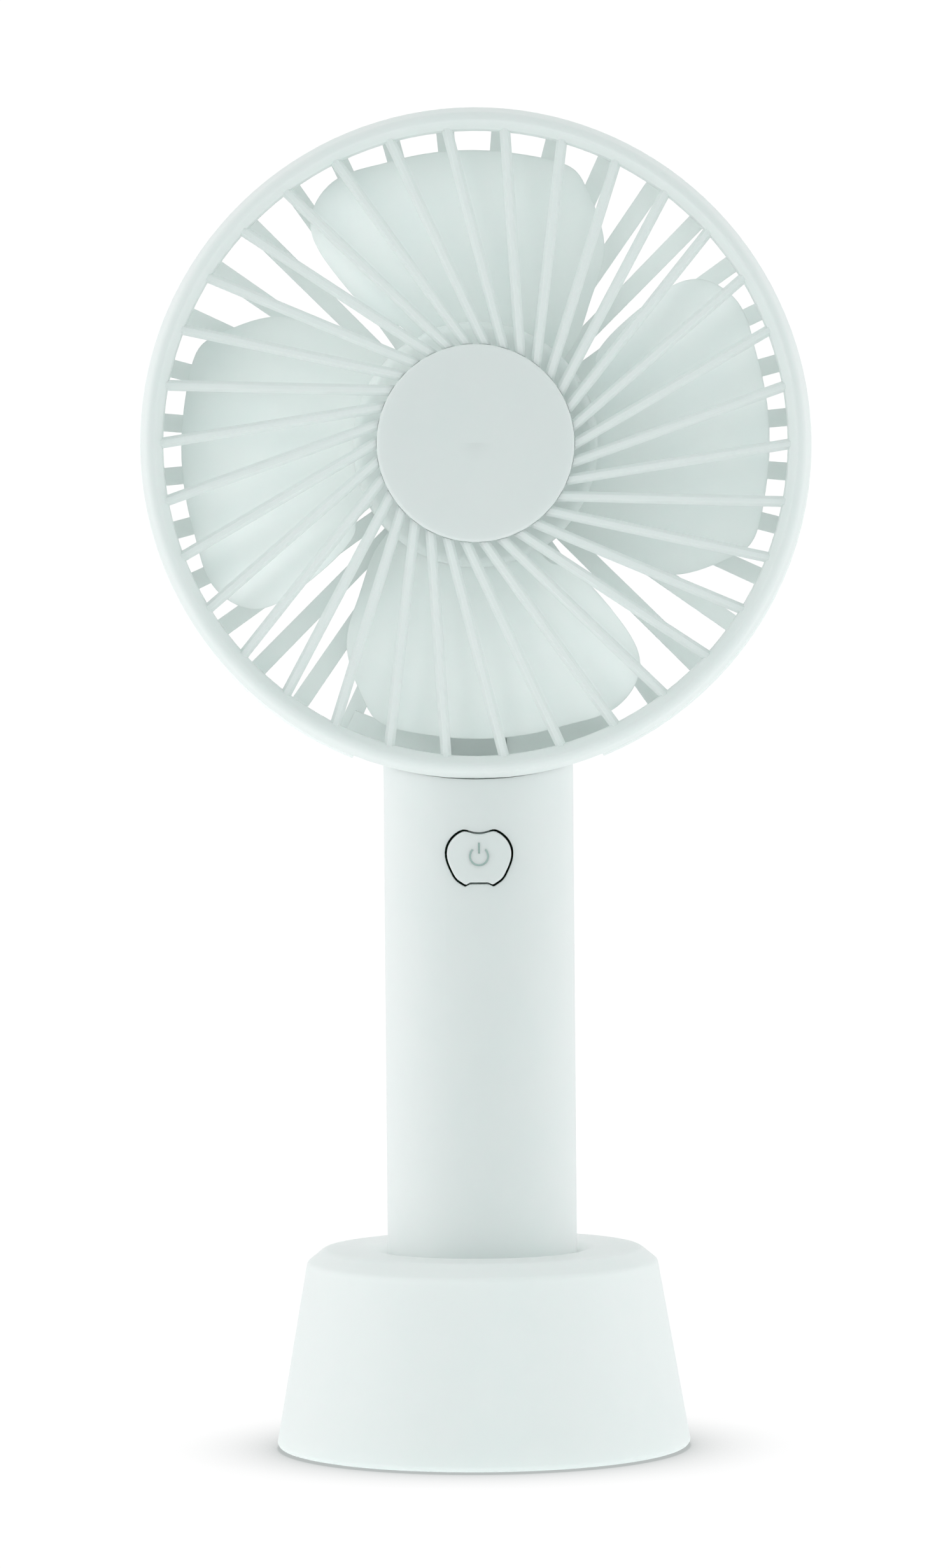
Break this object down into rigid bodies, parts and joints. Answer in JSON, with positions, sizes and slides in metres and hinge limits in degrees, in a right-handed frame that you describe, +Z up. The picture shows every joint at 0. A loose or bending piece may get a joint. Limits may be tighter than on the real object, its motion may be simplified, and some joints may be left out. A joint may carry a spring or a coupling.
{
  "type": "handheld electric fan",
  "caption": "White handheld electric fan standing upright in a weighted round stand, with a bladed head behind a swirled-rib grille, a round handle and a power key.",
  "frame": {"origin": "centre of the underside of the stand, on the surface it rests on", "axes": "+Z up along the handle; the front grille faces -Y; +X to the right seen from the front; the impeller axis is parallel to Y at z = 0.1549 m"},
  "size_m": [0.1038, 0.0638, 0.2068],
  "materials": {
    "stand_plastic": "fine satin",
    "housing_plastic": "fine satin",
    "grille_plastic": "fine satin",
    "impeller_plastic": "satin",
    "button_plastic": "satin",
    "foot_rubber": "matt",
    "ballast_steel": "blackened",
    "screw_steel": "zinc plated",
    "bright_steel": "nickel plated",
    "magnet": "sintered",
    "core_steel": "laminated",
    "bush_bronze": "sintered",
    "winding_copper": "enamelled",
    "board_laminate": "solder mask",
    "component_plastic": "moulded",
    "plunger_plastic": "moulded",
    "led_lens": "clear",
    "cell_sleeve": "shrink film",
    "nickel": "strip",
    "foam": "closed cell",
    "lead_sheath": "extruded"
  },
  "bodies": {
    "dock": {"dock_shell": "stand_plastic", "dock_base_plate": "stand_plastic", "dock_foot_ring": "foot_rubber", "dock_ballast": "ballast_steel", "dock_screws": "screw_steel"},
    "fan": {"front_housing": "housing_plastic", "rear_housing": "housing_plastic", "wire_cover": "housing_plastic", "handle_end_cap": "housing_plastic", "housing_screws": "screw_steel", "shaft_bushes": "bush_bronze", "motor_bracket": "bright_steel", "motor_screws": "screw_steel", "motor_board": "board_laminate", "driver_chip": "component_plastic", "stator_core": "core_steel", "stator_coils": "winding_copper", "tact_switch": "component_plastic", "main_board": "board_laminate", "board_components": "component_plastic", "indicator_led": "led_lens", "board_screws": "screw_steel", "usb_socket": "bright_steel", "battery_cell": "cell_sleeve", "battery_tabs": "nickel", "battery_pad": "foam", "battery_leads": "lead_sheath", "motor_leads": "lead_sheath"},
    "grille": {"front_grille": "grille_plastic", "hub_cap": "grille_plastic"},
    "rotor": {"impeller": "impeller_plastic", "rotor_yoke": "bright_steel", "magnet_ring": "magnet", "motor_shaft": "bright_steel", "shaft_clip": "bright_steel"},
    "button": {"power_button": "button_plastic", "switch_plunger": "plunger_plastic"}
  },
  "joints": [
    {"name": "fan_lift", "type": "slide", "parent": "dock", "child": "fan", "axis": [0, 0, 1], "range_m": [0, 0.06]},
    {"name": "grille_twist", "type": "hinge", "parent": "fan", "child": "grille", "pos_m": [0, 0, 0.1549], "axis": [0, -1, 0], "range_deg": [0, 15]},
    {"name": "impeller_spin", "type": "hinge", "parent": "fan", "child": "rotor", "pos_m": [0, 0, 0.1549], "axis": [0, -1, 0], "continuous": true},
    {"name": "button_press", "type": "slide", "parent": "fan", "child": "button", "axis": [0, 1, 0], "range_m": [0, 0.0005]}
  ]
}
